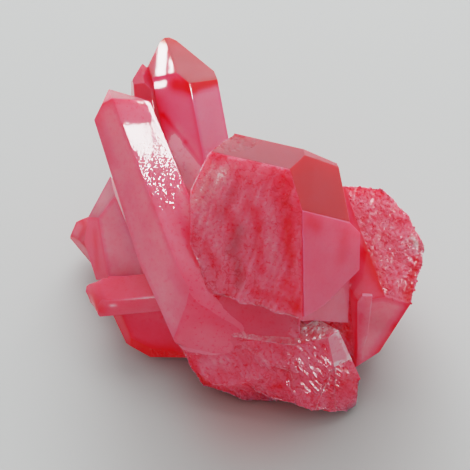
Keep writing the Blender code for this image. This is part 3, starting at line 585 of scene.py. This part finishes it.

# Where dye has gathered (or is thin, below zero), some thin spots being painted highlights: two ends of a soft streak
# and its radius in mm, then the amount
dyeAndHighlightStreaks = (
    ((8, -8.4, 44.8), (9.3, -16.5, 35.6), 1.5, 0.24),     # great crystal
    ((9.1, -13, 39.6), (9.4, -18, 34), 1, 0.22),
    ((3.6, -9.9, 39), (4, -11.8, 37), 1.3, 0.28),
    ((4.4, -12, 36.5), (4.6, -17, 30.5), 0.9, 0.2),
    ((10.7, -23.4, 27.9), (10.4, -23.2, 28.6), 1.2, 0.45),
    ((9.9, -20.8, 30.2), (8.6, -20, 30.5), 1.5, 0.28),
    ((8.5, -22, 28.2), (3, -19.8, 27.5), 1, 0.25),
    ((-5.6, -11, 30.6), (-4.4, -13.6, 28), 1.1, 0.28),
    ((-3.2, -0.8, 44.3), (-1.8, -1.2, 44.8), 1.6, 0.25),
    ((-1.8, -8.5, 37.6), (-0.4, -11.5, 34), 1.2, 0.2),
    ((-7.4, -4.6, 37), (-3.2, -2.6, 42.2), 3, -0.3),
    ((5.8, -10, 40.8), (6.6, -17.5, 32), 1.2, -0.09),
    ((-6.6, -12.6, 28), (-5.6, -8.4, 33.6), 2.6, -0.1),
    ((11.4, -5, 45.8), (12, -11, 42.6), 1.3, 0.2),
    ((13, -3, 45.5), (19, 0, 40.2), 0.8, 0.18),
    ((12.8, -13.3, 40.3), (14.4, -13.1, 38.8), 1.6, 0.25),    # shoulder
    ((20.1, -11.4, 33.6), (19.6, -14.2, 31), 1.8, 0.18),
    ((25.9, -8, 25.2), (28.2, -15.4, 22.9), 1.5, 0.3),     # right block
    ((25.4, -9, 24.2), (27, -12.6, 22.8), 1.2, 0.2),
    ((35.8, -10, 23.9), (33.4, -17, 22), 1.1, 0.42),
    ((35.4, -5.3, 25.3), (36.5, -7.6, 24.5), 0.8, -0.4),
    ((23.5, 5.2, 29), (30, 5, 28.5), 0.8, 0.28),
    ((33.8, -18.7, 21.4), (31.6, -20.8, 17), 1.2, 0.32),
    ((31.4, -21, 16.6), (28.4, -23.8, 11.2), 1.1, 0.32),
    ((24.4, -19.2, 18.4), (24.4, -23.6, 9.6), 0.6, 0.22),
    ((21.5, -18.4, 17.2), (22.4, -21.2, 12.8), 1, 0.35),    # infill and ledge
    ((13, -21.4, 18.4), (18.6, -21.2, 18.8), 1.8, -0.22),
    # painted highlights: pale lines along the bright rims of the ledge plate
    ((19.8, -23.2, 18.8), (22.8, -25.9, 12.4), 0.45, -0.3),
    ((22.7, -26, 12.4), (19.4, -27.3, 13.2), 0.45, -0.3),
    ((8.4, -30.4, 8.9), (6.4, -30.6, 8), 1.2, 0.6),
    ((20.5, -29.4, 8.6), (23.8, -30, 5.6), 1.6, 0.2),
    ((-9.8, -25.2, 9.2), (-6.6, -27.6, 5.2), 1.4, 0.5),      # mass
    ((-14, -21.2, 6.2), (-20, -20.2, 4.6), 2, 0.35),    # lower left
    ((-21, -14.5, 12.4), (-14, -16.5, 12.6), 2.4, -0.12),
    ((-30.8, 2, 18), (-30.2, -4, 12), 0.8, 0.2),     # upper left
    ((-31, -13.2, 14.6), (-28.4, -15.4, 14.2), 1.5, 0.3),  # finger
    # painted highlights: a pale line along the finger's ridge and two glints at its end
    ((-29, -15.5, 16.7), (-16.5, -14.6, 17.9), 0.26, -0.45),
    ((-28.3, -16.1, 15.4), (-28, -16.1, 15.5), 0.5, -0.6),
    ((-25.6, -15.3, 15.6), (-24.9, -15.3, 15.7), 0.45, -0.6),
    ((-27.6, 12.5, 41.5), (-25.4, 6, 36.5), 1.4, 0.16),     # blade
    ((-13.6, -2, 34), (-9, -8.6, 29.6), 3.2, 0.07),
    ((-11.2, 0, 33.8), (-9.4, -4.6, 30.8), 1.2, -0.14),
    ((-24.8, 13.2, 45.2), (-26.4, 13.4, 44), 1.2, 0.18),
    ((-9.6, -16, 24.8), (-4, -20.5, 18.6), 2.2, 0.08),
    ((-8, -26, 9.6), (-3, -25.6, 10.8), 2, -0.12),
    ((-12.3, 20.4, 43.2), (-10, 19.6, 43.4), 1.5, 0.6),    # tall crystal
    ((-8.9, 19.6, 43), (-4.6, 23.8, 41.2), 0.95, 0.9),
    ((-16.6, 19, 40.2), (-15.2, 13, 34.5), 1.7, 0.22),
    ((-15.3, 17, 38.2), (-10.6, 12.6, 34.6), 0.5, 0.34),
    ((-10.6, 12.6, 34.6), (-6.6, 8.6, 31), 0.5, 0.34),
    ((-13.6, 11.4, 33.4), (-8, 7.4, 29.2), 4, -0.52),
    ((-12.6, 14.5, 36.4), (-11.4, 10.5, 32), 1.2, -0.14),
    ((-15, 31.5, 45.9), (-12.8, 32.6, 45.4), 1.4, 0.4),
)
smokeStreaks = (
    ((0.6, -11.2, 35.2), (-1, -13.2, 31.4), 1.3, 0.35),
    ((0, -15.2, 30.4), (0.3, -17.8, 27), 1.1, 0.3),
    ((-1, -6, 40), (-3.6, -9, 36), 1.5, 0.15),
    ((27.6, -20.5, 17.5), (29.6, -20.2, 16), 2.2, 0.2),
)
glitterStreaks = (
    ((-15.6, 2.4, 37.6), (-12, -1.6, 33.8), 3.4, 0.55),
    ((-9.4, -6, 29.8), (-4, -16, 22.8), 2.6, 0.3),
    ((-17.5, -6, 30), (-17.4, -6, 30), 0.7, 0.8),
    ((-10.6, -11, 28.2), (-10.5, -11, 28.2), 0.8, 0.9),
    ((18.6, -25.2, 16.4), (21.8, -26.4, 12.6), 2.6, 0.8),
    ((-16.8, 9, 40.8), (-15.4, 6.8, 39.2), 1, 0.3),
    ((-20.6, 5.6, 40.6), (-19.4, 3.6, 39.2), 0.9, 0.3),
    ((12, -21.4, 19), (17.4, -20.4, 17.6), 1.6, 0.25),
    ((28.1, 0.3, 27.4), (34, -2.6, 26), 2, 0.5),
)
clearSpots = (
    ((36.6, -7.2, 24.6), (35.4, -6.6, 25), 1.9, 0.75),
    ((-11.4, 8, 30.4), (-10, 4.5, 28.6), 2, 0.4),
    ((-5, -3.5, 38.8), (-6, -5.5, 36.6), 2.2, 0.25),
)


def streakAmount(points, streaks):
    # sum of soft streaks at each point
    total = np.zeros(len(points))
    for start, end, radius, amount in streaks:
        a, b = np.array(start), np.array(end)
        along = b - a
        share = np.clip((points - a) @ along / (along @ along), 0, 1)
        gap = np.linalg.norm(points - (a + share[:, None] * along), axis=1) / radius
        total += amount * np.exp(-gap * gap)
    return total


# Painted shade along the edges of the clear crystals, given as extra dye, and how far in from an edge it reaches in mm
edgeShade = {"blade": 0.12, "great": 0.07, "tallBack": 0.30, "rightBlock": 0.22, "sliver": 0.20, "leftStub": 0.28,
           "upperLeft": 0.16, "lowerLeft": 0.15, "rearHigh": 0.25, "rearMiddle": 0.25, "rearRight": 0.25,
           "rearLong": 0.25, "rearLeft": 0.25, "rearLow": 0.25}
edgeReach = 0.5


def edgeShadeAt(points, solids):
    # painted edge shade at each point, strongest on an edge of its crystal and none where corners are worn round
    total = np.zeros(len(points))
    owner, flat = ownersOf(points, solids)
    for k, (name, flats) in enumerate(solids):
        mine = np.flatnonzero(owner == k)
        if name not in edgeShade or not len(mine):
            continue
        normals = np.array([f[1] for f in flats])
        depth = np.array([f[2] for f in flats]) - points[mine] @ normals.T
        second = np.argsort(depth, axis=1)[:, 1]
        bend = np.linalg.norm(np.cross(normals[flat[mine]], normals[second]), axis=1)
        gap = depth[np.arange(len(mine)), second] / np.maximum(bend, 0.1) / edgeReach
        total[mine] = edgeShade[name] * np.exp(-gap * gap)
    for middle, radius, rounds in softSpots:
        gap = np.linalg.norm(points - np.array(middle), axis=1) / radius / softMargin
        total *= np.clip(gap * gap, 0, 1)
    return total


def writeLooks(whole, solids, names, kinds, depths, tones):
    # dye with its painted highlights and painted edge shade, lilac, amber and smoke, clearness and frosting at every
    # face corner
    mesh = whole.data
    corners = len(mesh.loops)
    vertexOf = np.zeros(corners, int)
    mesh.loops.foreach_get("vertex_index", vertexOf)
    points = np.array([v.co for v in mesh.vertices])
    faceOf = np.repeat(np.arange(len(mesh.polygons)), [p.loop_total for p in mesh.polygons])
    values = {}
    for part in ("dye", "lilac", "amber", "smoke", "clear"):
        perFace = np.zeros(len(names))
        for k, name in enumerate(names):
            base = crystalLooks[name.split(".")[0]].get(part, 0.0)
            perFace[k] = faceLooks.get(name, {}).get(part, base)
        values[part] = perFace[faceOf]
    frosted = np.array([1.0 if k else 0.0 for k in kinds])
    # gathered and thinned dye, including the painted highlights on the finger and the ledge plate
    pooledDyeAndPaintedLight = streakAmount(points, dyeAndHighlightStreaks)[vertexOf]
    # painted shade along the crystal edges, added to the dye of the whole faces
    edges = edgeShadeAt(points, solids)[vertexOf] * (1 - frosted[faceOf])
    values["dye"] = values["dye"] + pooledDyeAndPaintedLight + edges
    values["lilac"] = values["lilac"] * np.clip(1 - 2.2 * pooledDyeAndPaintedLight, 0, 1)
    values["smoke"] = values["smoke"] + streakAmount(points, smokeStreaks)[vertexOf]
    values["clear"] = values["clear"] + streakAmount(points, clearSpots)[vertexOf]
    values["glitter"] = streakAmount(points, glitterStreaks)[vertexOf]
    values["frost"] = frosted[faceOf]
    values["pit"] = (0.5 + depths / 1.2)[vertexOf]
    values["tone"] = (0.5 + 0.5 * tones)[vertexOf]
    values["worn"] = np.array([wornFaces.get(name, wornFaces["other"]) for name in names])[faceOf]
    for part, numbers in values.items():
        layer = mesh.attributes.new(part, "FLOAT", "CORNER")
        layer.data.foreach_set("value", np.clip(numbers, 0, 1).astype(np.float32))


class Wire:
    # a node's output socket that can be used in plain expressions
    def __init__(self, sheet, socket):
        self.sheet, self.socket = sheet, socket

    def out(self, name):
        # another output of the same node
        return Wire(self.sheet, self.socket.node.outputs[name])

    def math(self, kind, *values, clamp=False):
        return self.sheet.node("ShaderNodeMath", dict(operation=kind, use_clamp=clamp), dict(enumerate(values)))

    def __add__(self, other):
        return self.math("ADD", self, other)

    def __radd__(self, other):
        return self.math("ADD", other, self)

    def __sub__(self, other):
        return self.math("SUBTRACT", self, other)

    def __rsub__(self, other):
        return self.math("SUBTRACT", other, self)

    def __mul__(self, other):
        return self.math("MULTIPLY", self, other)

    def __rmul__(self, other):
        return self.math("MULTIPLY", other, self)

    def __abs__(self):
        return self.math("ABSOLUTE", self)

    def held(self):
        # kept between 0 and 1
        return self.math("ADD", self, 0.0, clamp=True)

    def over(self, low, high):
        # 0 below low, 1 above high, smooth between
        return self.sheet.node("ShaderNodeMapRange", dict(interpolation_type="SMOOTHSTEP"),
                               {"Value": self, "From Min": low, "From Max": high}, "Result")


class Sheet:
    # one node tree: of a material, of the world or of Geometry Nodes
    def __init__(self, tree):
        self.tree = tree
        tree.nodes.clear()

    def node(self, kind, settings=None, sockets=None, output=0):
        # any node: its settings first, then the values or links of its sockets, by name or place
        node = self.tree.nodes.new(kind)
        for key, value in (settings or {}).items():
            if key == "stops":
                elements = node.color_ramp.elements
                while len(elements) < len(value):
                    elements.new(0.5)
                for element, (place, colour) in zip(elements, value):
                    element.position, element.color = place, (*colour, 1)
            else:
                setattr(node, key, value)
        for key, value in (sockets or {}).items():
            if isinstance(value, Wire):
                self.tree.links.new(value.socket, node.inputs[key])
            elif node.inputs[key].type == "RGBA":
                node.inputs[key].default_value = (*value, 1)
            else:
                node.inputs[key].default_value = value
        return Wire(self, node.outputs[output]) if len(node.outputs) else node

    def place(self):
        return self.node("ShaderNodeTexCoord", output="Object")

    def attribute(self, name):
        return self.node("ShaderNodeAttribute", dict(attribute_name=name), output="Fac")

    def noise(self, place, scale, detail=2.0, roughness=0.6):
        return self.node("ShaderNodeTexNoise", sockets={"Vector": place, "Scale": scale, "Detail": detail,
                                                        "Roughness": roughness})

    def ways(self, kind, one, two, output=0):
        return self.node("ShaderNodeVectorMath", dict(operation=kind), {0: one, 1: two}, output)

    def blend(self, factor, one, two):
        return self.node("ShaderNodeMix", dict(data_type="RGBA"), {0: factor, 6: one, 7: two}, 2)


# The dyed quartz: colours as linear RGB, lengths in metres
quartz = dict(
    stops=((0, (0.94, 0.74, 0.78)), (0.05, (0.85, 0.36, 0.41)), (0.25, (0.9, 0.19, 0.27)),
           (0.5, (0.92, 0.08, 0.14)), (0.75, (0.90, 0.020, 0.05)), (1.0, (0.88, 0.001, 0.006))),
    lilac=(0.86, 0.22, 0.4), amber=(0.8, 0.17, 0.12), smoke=(0.3, 0.05, 0.065), glass=(0.97, 0.8, 0.84),
    scatter=0.015, scatterShares=(1.0, 0.07, 0.08), ior=1.54, absorb=(0.95, 0.25, 0.36), absorbDensity=38.0,
    cloud=75.0, blotch=300.0, winding=430.0, fine=1400.0, grain=2300.0, plates=3200.0, plateLean=230.0,
)
# Depths of the bump in mm
bumps = dict(grainFrost=0.030, fineFrost=0.036, fineWorn=0.0020, blotchWorn=0.0065)


def dyedQuartz(name, milkiness):
    # milkiness 1 lets light wander inside; 0 is for what is too small for that
    q = quartz
    material = bpy.data.materials.new(name)
    material.use_nodes = True
    s = Sheet(material.node_tree)
    place = s.place()
    dye, lilac, amber, smoke = (s.attribute(look) for look in ("dye", "lilac", "amber", "smoke"))
    clear, frost, pit = (s.attribute(look) for look in ("clear", "frost", "pit"))
    tone, worn, glitter = (s.attribute(look) for look in ("tone", "worn", "glitter"))
    cloud = s.noise(place, q["cloud"], roughness=0.5)
    blotch = s.noise(place, q["blotch"], detail=3.0, roughness=0.55)
    winding = s.noise(place, q["winding"], roughness=0.55)
    fine = s.noise(place, q["fine"])
    grain = s.noise(place, q["grain"])

    # colour: dye in soft clouds and channels; on the broken faces it is deeper in the pits, both gathered dye and
    # painted shade of the pits
    mottle = (blotch - 0.5) * 0.10 + (fine - 0.5) * (0.06 + 0.14 * frost) + (cloud - 0.5) * (0.26 - 0.12 * frost)
    mottle = mottle + (blotch - 0.5) * 0.10 * frost
    # deeper dye in the sunk pits: gathered dye and painted pit shade
    pooledDyeAndPaintedLight = (tone - 0.5) * 0.13 * frost + (pit - 0.5) * 0.22 * frost
    specks = fine.over(0.58, 0.68) * (0.14 * frost + 0.09 * worn)
    channel = (1.0 - abs(winding - 0.5).over(0.0, 0.035)) * frost * cloud.over(0.35, 0.65)
    strength = (dye + mottle + pooledDyeAndPaintedLight + specks + channel * 0.15).held()
    colour = s.node("ShaderNodeValToRGB", dict(stops=q["stops"]), {"Fac": strength}, "Color")
    colour = s.blend(lilac * 0.75, colour, q["lilac"])
    colour = s.blend(amber * 0.7, colour, q["amber"])
    colour = s.blend((smoke + channel * 0.16).held(), colour, q["smoke"])
    rough = 0.02 + 0.10 * frost + 0.12 * blotch * frost

    # heights in mm: fine roughness, slow waves on the worn faces, and glittering plates that each lean their own way
    plates = s.node("ShaderNodeTexVoronoi", sockets={"Vector": place, "Scale": q["plates"]}, output="Color")
    offset = s.ways("SUBTRACT", place, plates.out("Position"))
    lean = s.ways("SUBTRACT", plates, (0.5, 0.5, 0.5))
    height = (grain * bumps["grainFrost"] * frost + fine * (bumps["fineWorn"] * worn + bumps["fineFrost"] * frost)
              + blotch * bumps["blotchWorn"] * worn
              + s.ways("DOT_PRODUCT", offset, lean, "Value") * glitter * q["plateLean"])
    bump = s.node("ShaderNodeBump", sockets={"Strength": 1.0, "Distance": mm, "Height": height})

    # a milky body with clear glassy parts, dimmed by what it absorbs
    milky = s.node("ShaderNodeBsdfPrincipled", sockets={
        "Base Color": colour, "Roughness": rough, "IOR": q["ior"], "Normal": bump, "Subsurface Weight": milkiness,
        "Subsurface Radius": q["scatterShares"], "Subsurface Scale": q["scatter"]})
    glassy = s.node("ShaderNodeBsdfPrincipled", sockets={
        "Base Color": s.blend(0.55, colour, q["glass"]), "Roughness": rough, "IOR": q["ior"], "Normal": bump,
        "Transmission Weight": 1.0})
    share = (clear * (1.0 - 0.55 * frost)).held()
    surface = s.node("ShaderNodeMixShader", sockets={0: share, 1: milky, 2: glassy})
    dim = s.node("ShaderNodeVolumeAbsorption", sockets={"Color": q["absorb"], "Density": q["absorbDensity"]})
    s.node("ShaderNodeOutputMaterial", sockets={"Surface": surface, "Volume": dim})
    return material


# The pale table top: its colours, then the painted shadow and the painted pink glow near the cluster, as middle,
# inner and outer radius in m, share and colour
table = dict(
    pale=(0.45, 0.455, 0.45), grey=(0.43, 0.44, 0.44), rough=0.55,
    # painted shadow of the cluster on the table, darkest in front of it
    paintedShadowAndGlow=(((0.01, -0.04, 0), 0.008, 0.058, 0.68, (0.24, 0.215, 0.21)),
           # painted pink glow and contact shade under the cluster's front, standing in for light through the crystal
           ((0.004, -0.026, 0), 0.002, 0.022, 0.6, (0.34, 0.12, 0.12))),
)


def paleTable():
    material = bpy.data.materials.new("paleTable")
    material.use_nodes = True
    s = Sheet(material.node_tree)
    place = s.place()
    colour = s.blend(s.noise(place, 6.0, detail=3.0) * 0.3, table["pale"], table["grey"])
    # painted shadow and painted pink glow on the table, by distance from the cluster
    for middle, near, far, share, paintedLightColour in table["paintedShadowAndGlow"]:
        gap = s.ways("DISTANCE", place, middle, "Value")
        colour = s.blend(share - share * gap.over(near, far), colour, paintedLightColour)
    board = s.node("ShaderNodeBsdfPrincipled", sockets={"Base Color": colour, "Roughness": table["rough"]})
    s.node("ShaderNodeOutputMaterial", sockets={"Surface": board})
    return material


# Small crystal points on the crust: how many on a square metre, lengths in m, least and greatest size, how far they
# lean and turn in radians, and the looks that they don't take over from the skin
pointSizes = {"Density": 1.1e6, "Width": 0.00032, "Height": 0.00070, "Sunk": 0.00036, "Smallest": 0.45,
              "Largest": 1.15, "Lean": 0.45, "Turn": 6.28}
pointSeed, pointSides = 11, 6
pointLooks = dict(clear=0.0, frost=0.25, glitter=0.0, worn=0.0)


def crustBed(whole, names, kinds):
    # the drusy faces of the right block on their own
    bm = bmesh.new()
    bm.from_mesh(whole.data)
    bm.faces.ensure_lookup_table()
    bare = [f for f, name, kind in zip(bm.faces, names, kinds) if kind != "drusy" or not name.startswith("rightBlock")]
    bmesh.ops.delete(bm, geom=bare, context="FACES")
    bed = toObject("drusyPoints", bm)
    for part, value in pointLooks.items():
        layer = bed.data.attributes[part].data
        layer.foreach_set("value", np.full(len(layer), value, np.float32))
    return bed


def drusyPoints(bed, material):
    # six-sided points strewn over the bed, each turned and leaned by chance
    tree = bpy.data.node_groups.new("drusyPoints", "GeometryNodeTree")
    s = Sheet(tree)
    tree.interface.new_socket("Geometry", in_out="INPUT", socket_type="NodeSocketGeometry")
    for name in pointSizes:
        tree.interface.new_socket(name, in_out="INPUT", socket_type="NodeSocketFloat")
    tree.interface.new_socket("Seed", in_out="INPUT", socket_type="NodeSocketInt")
    tree.interface.new_socket("Geometry", in_out="OUTPUT", socket_type="NodeSocketGeometry")
    given = s.node("NodeGroupInput", output="Geometry")
    spread = s.node("GeometryNodeDistributePointsOnFaces", dict(distribute_method="RANDOM"), {
        "Mesh": given, "Density": given.out("Density"), "Seed": given.out("Seed")})
    tip = s.node("GeometryNodeMeshCone", sockets={
        "Vertices": pointSides, "Radius Top": 0.0, "Radius Bottom": given.out("Width"), "Depth": given.out("Height")})
    sink = s.node("ShaderNodeCombineXYZ", sockets={"Z": 0.0 - given.out("Sunk")})
    tip = s.node("GeometryNodeTransform", sockets={"Geometry": tip, "Translation": sink})
    least = s.node("ShaderNodeCombineXYZ", sockets={"X": 0.0 - given.out("Lean"), "Y": 0.0 - given.out("Lean")})
    most = s.node("ShaderNodeCombineXYZ", sockets={
        "X": given.out("Lean"), "Y": given.out("Lean"), "Z": given.out("Turn")})
    nod = s.node("FunctionNodeRandomValue", dict(data_type="FLOAT_VECTOR"), {0: least, 1: most, 8: given.out("Seed")})
    turn = s.node("FunctionNodeEulerToRotation", sockets={0: nod})
    turn = s.node("FunctionNodeRotateRotation", dict(rotation_space="LOCAL"), {0: spread.out("Rotation"), 1: turn})
    size = s.node("FunctionNodeRandomValue", dict(data_type="FLOAT"), {
        2: given.out("Smallest"), 3: given.out("Largest"), 8: given.out("Seed")}, 1)
    grown = s.node("GeometryNodeInstanceOnPoints", sockets={
        "Points": spread, "Instance": tip, "Rotation": turn, "Scale": size})
    plain = s.node("GeometryNodeRealizeInstances", sockets={"Geometry": grown})
    finished = s.node("GeometryNodeSetMaterial", sockets={"Geometry": plain, "Material": material})
    s.node("NodeGroupOutput", sockets={0: finished})
    grow = bed.modifiers.new("grow", "NODES")
    grow.node_group = tree
    for item in tree.interface.items_tree:
        if item.name in pointSizes:
            grow[item.identifier] = pointSizes[item.name]
        elif item.name == "Seed":
            grow[item.identifier] = pointSeed
    mesh = bpy.data.meshes.new_from_object(bed.evaluated_get(bpy.context.evaluated_depsgraph_get()))
    bed.modifiers.clear()
    bed.data = mesh
    bed.data.materials.clear()
    bed.data.materials.append(material)
    return bed


print("growing the crystals together")
whole, solids = growTogether()
names, kinds = refine(whole, solids)
print("working the broken faces", len(whole.data.polygons), "triangles", sum(bool(k) for k in kinds), "broken")
soften(whole)
depths, tones = workRelief(whole, names, kinds)
writeLooks(whole, solids, names, kinds, depths, tones)
whole.data.transform(Matrix.Scale(mm, 4))
whole.data.polygons.foreach_set("use_smooth", [False] * len(kinds))
whole.data.polygons.foreach_set("material_index", [0] * len(kinds))
whole.data.materials.clear()
whole.data.materials.append(dyedQuartz("dyedQuartz", 1.0))
print("growing the small points on the crust")
crustPoints = drusyPoints(crustBed(whole, names, kinds), dyedQuartz("crustPoint", 0.0))
print(len(crustPoints.data.polygons), "faces of small points")
for piece in (whole, crustPoints):
    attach(piece, "root")
    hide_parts("crystal_cluster")

print("stage")
# Camera in mm, degrees and mm of lens; floor in m; the room's light and how it is shown
studio = dict(
    aim=(-0.35, -5.5, 26.5), reach=130.56, tilt=52, lens=50, sensor=36, nearest=0.005, floor=3,
    worldColour=(0.97, 1, 1), frontLight=0.22, backLight=0.85, brightWay=(0.05, 0.9, 0.43), exposure=0.22,
)
bpy.ops.mesh.primitive_plane_add(size=studio["floor"], location=(0, 0, 0))
floor = bpy.context.object
floor.name = "tableTop"
floor.data.materials.append(paleTable())

world = bpy.data.worlds.new("softRoom")
bpy.context.scene.world = world
world.use_nodes = True
sky = Sheet(world.node_tree)
facing = sky.ways("DOT_PRODUCT", sky.node("ShaderNodeTexCoord", output="Generated"), studio["brightWay"], "Value")
front, back = studio["frontLight"], studio["backLight"]
glow = sky.node("ShaderNodeBackground", sockets={
    "Color": studio["worldColour"], "Strength": facing.over(-0.75, 1.0) * (back - front) + front})
sky.node("ShaderNodeOutputWorld", sockets={"Surface": glow})


def softbox(name, seat, target, along, size, radiance):
    # area light seated at a point, facing the target
    lamp = bpy.data.lights.new(name, "AREA")
    lamp.shape = "RECTANGLE"
    lamp.size, lamp.size_y = size
    lamp.energy = radiance * math.pi * size[0] * size[1]
    box = bpy.data.objects.new(name, lamp)
    bpy.context.collection.objects.link(box)
    back = (Vector(seat) - Vector(target)).normalized()
    side = (Vector(along) - back * back.dot(Vector(along))).normalized()
    turn = Matrix((side, back.cross(side), back)).transposed().to_4x4()
    box.matrix_world = Matrix.Translation(Vector(seat) * mm) @ turn
    return box


# Two big soft lights that give no mirror image, and small bright panes that give nothing but theirs: seat, target and
# way of the width in mm, then width and height in m
lamps = dict(
    windowBehind=dict(seat=(40, 690, 620), target=(0, 0, 15), along=(1, 0, 0), size=(0.95, 0.95), radiance=3.4),
    roomInFront=dict(seat=(0, -950, 260), target=(0, -20, 15), along=(1, 0, 0), size=(1.3, 0.5), radiance=1.1),
)
paneRadiance = 34.0
panes = dict(
    blade=dict(seat=(316.7, -10.2, 537.2), target=(-16, 8, 40), along=(0.82, 0.31, -0.48), size=(0.070, 0.043)),
    bladeTop=dict(seat=(303.5, 33.5, 549.9), target=(-17, 14, 44), along=(11.6, 4.4, -6.6), size=(0.015, 0.003)),
    bladeEdge=dict(seat=(315.5, 24.7, 541.9), target=(-16, 12, 42), along=(12.5, -22, -9.5), size=(0.027, 0.005)),
    bladeLine=dict(seat=(350.7, -32.1, 512.0), target=(-12, 3, 35), along=(17.9, -25.8, -16.5), size=(0.036, 0.005)),
    tip=dict(seat=(-396.5, 404.5, 492.8), target=(-16, 27, 45), along=(8.1, -2.3, 6.9), size=(0.011, 0.046)),
    tipRight=dict(seat=(-388.2, 399.6, 501.6), target=(-14, 25, 45), along=(3.7, -1.1, 3.1), size=(0.0045, 0.026)),
    bar=dict(seat=(-456.5, -401.1, 386.2), target=(-16.5, 21, 42.6), along=(18.4, -7.6, 10.9), size=(0.0225, 0.0075)),
    ledge=dict(seat=(451, -166, 402), target=(16, -27, 13), along=(0, 1, 0), size=(0.065, 0.065)),
    crust=dict(seat=(484, 24, 417), target=(28, 0, 27), along=(0, 1, 0), size=(0.07, 0.07)),
)
for name, lamp in lamps.items():
    softbox(name, **lamp).visible_glossy = False
for name, pane in panes.items():
    softbox(name + "Pane", **pane, radiance=paneRadiance).visible_diffuse = False

lens = bpy.data.cameras.new("camera")
lens.lens = studio["lens"]
lens.sensor_width = studio["sensor"]
lens.clip_start = studio["nearest"]
camera = bpy.data.objects.new("camera", lens)
bpy.context.collection.objects.link(camera)
aim = Vector(studio["aim"]) * mm
tilt = math.radians(studio["tilt"])
camera.location = aim + Vector((0, -math.cos(tilt), math.sin(tilt))) * studio["reach"] * mm
camera.rotation_euler = (aim - camera.location).to_track_quat("-Z", "Y").to_euler()
bpy.context.scene.camera = camera
shown = bpy.context.scene.view_settings
shown.view_transform, shown.look, shown.exposure = "Filmic", "High Contrast", studio["exposure"]
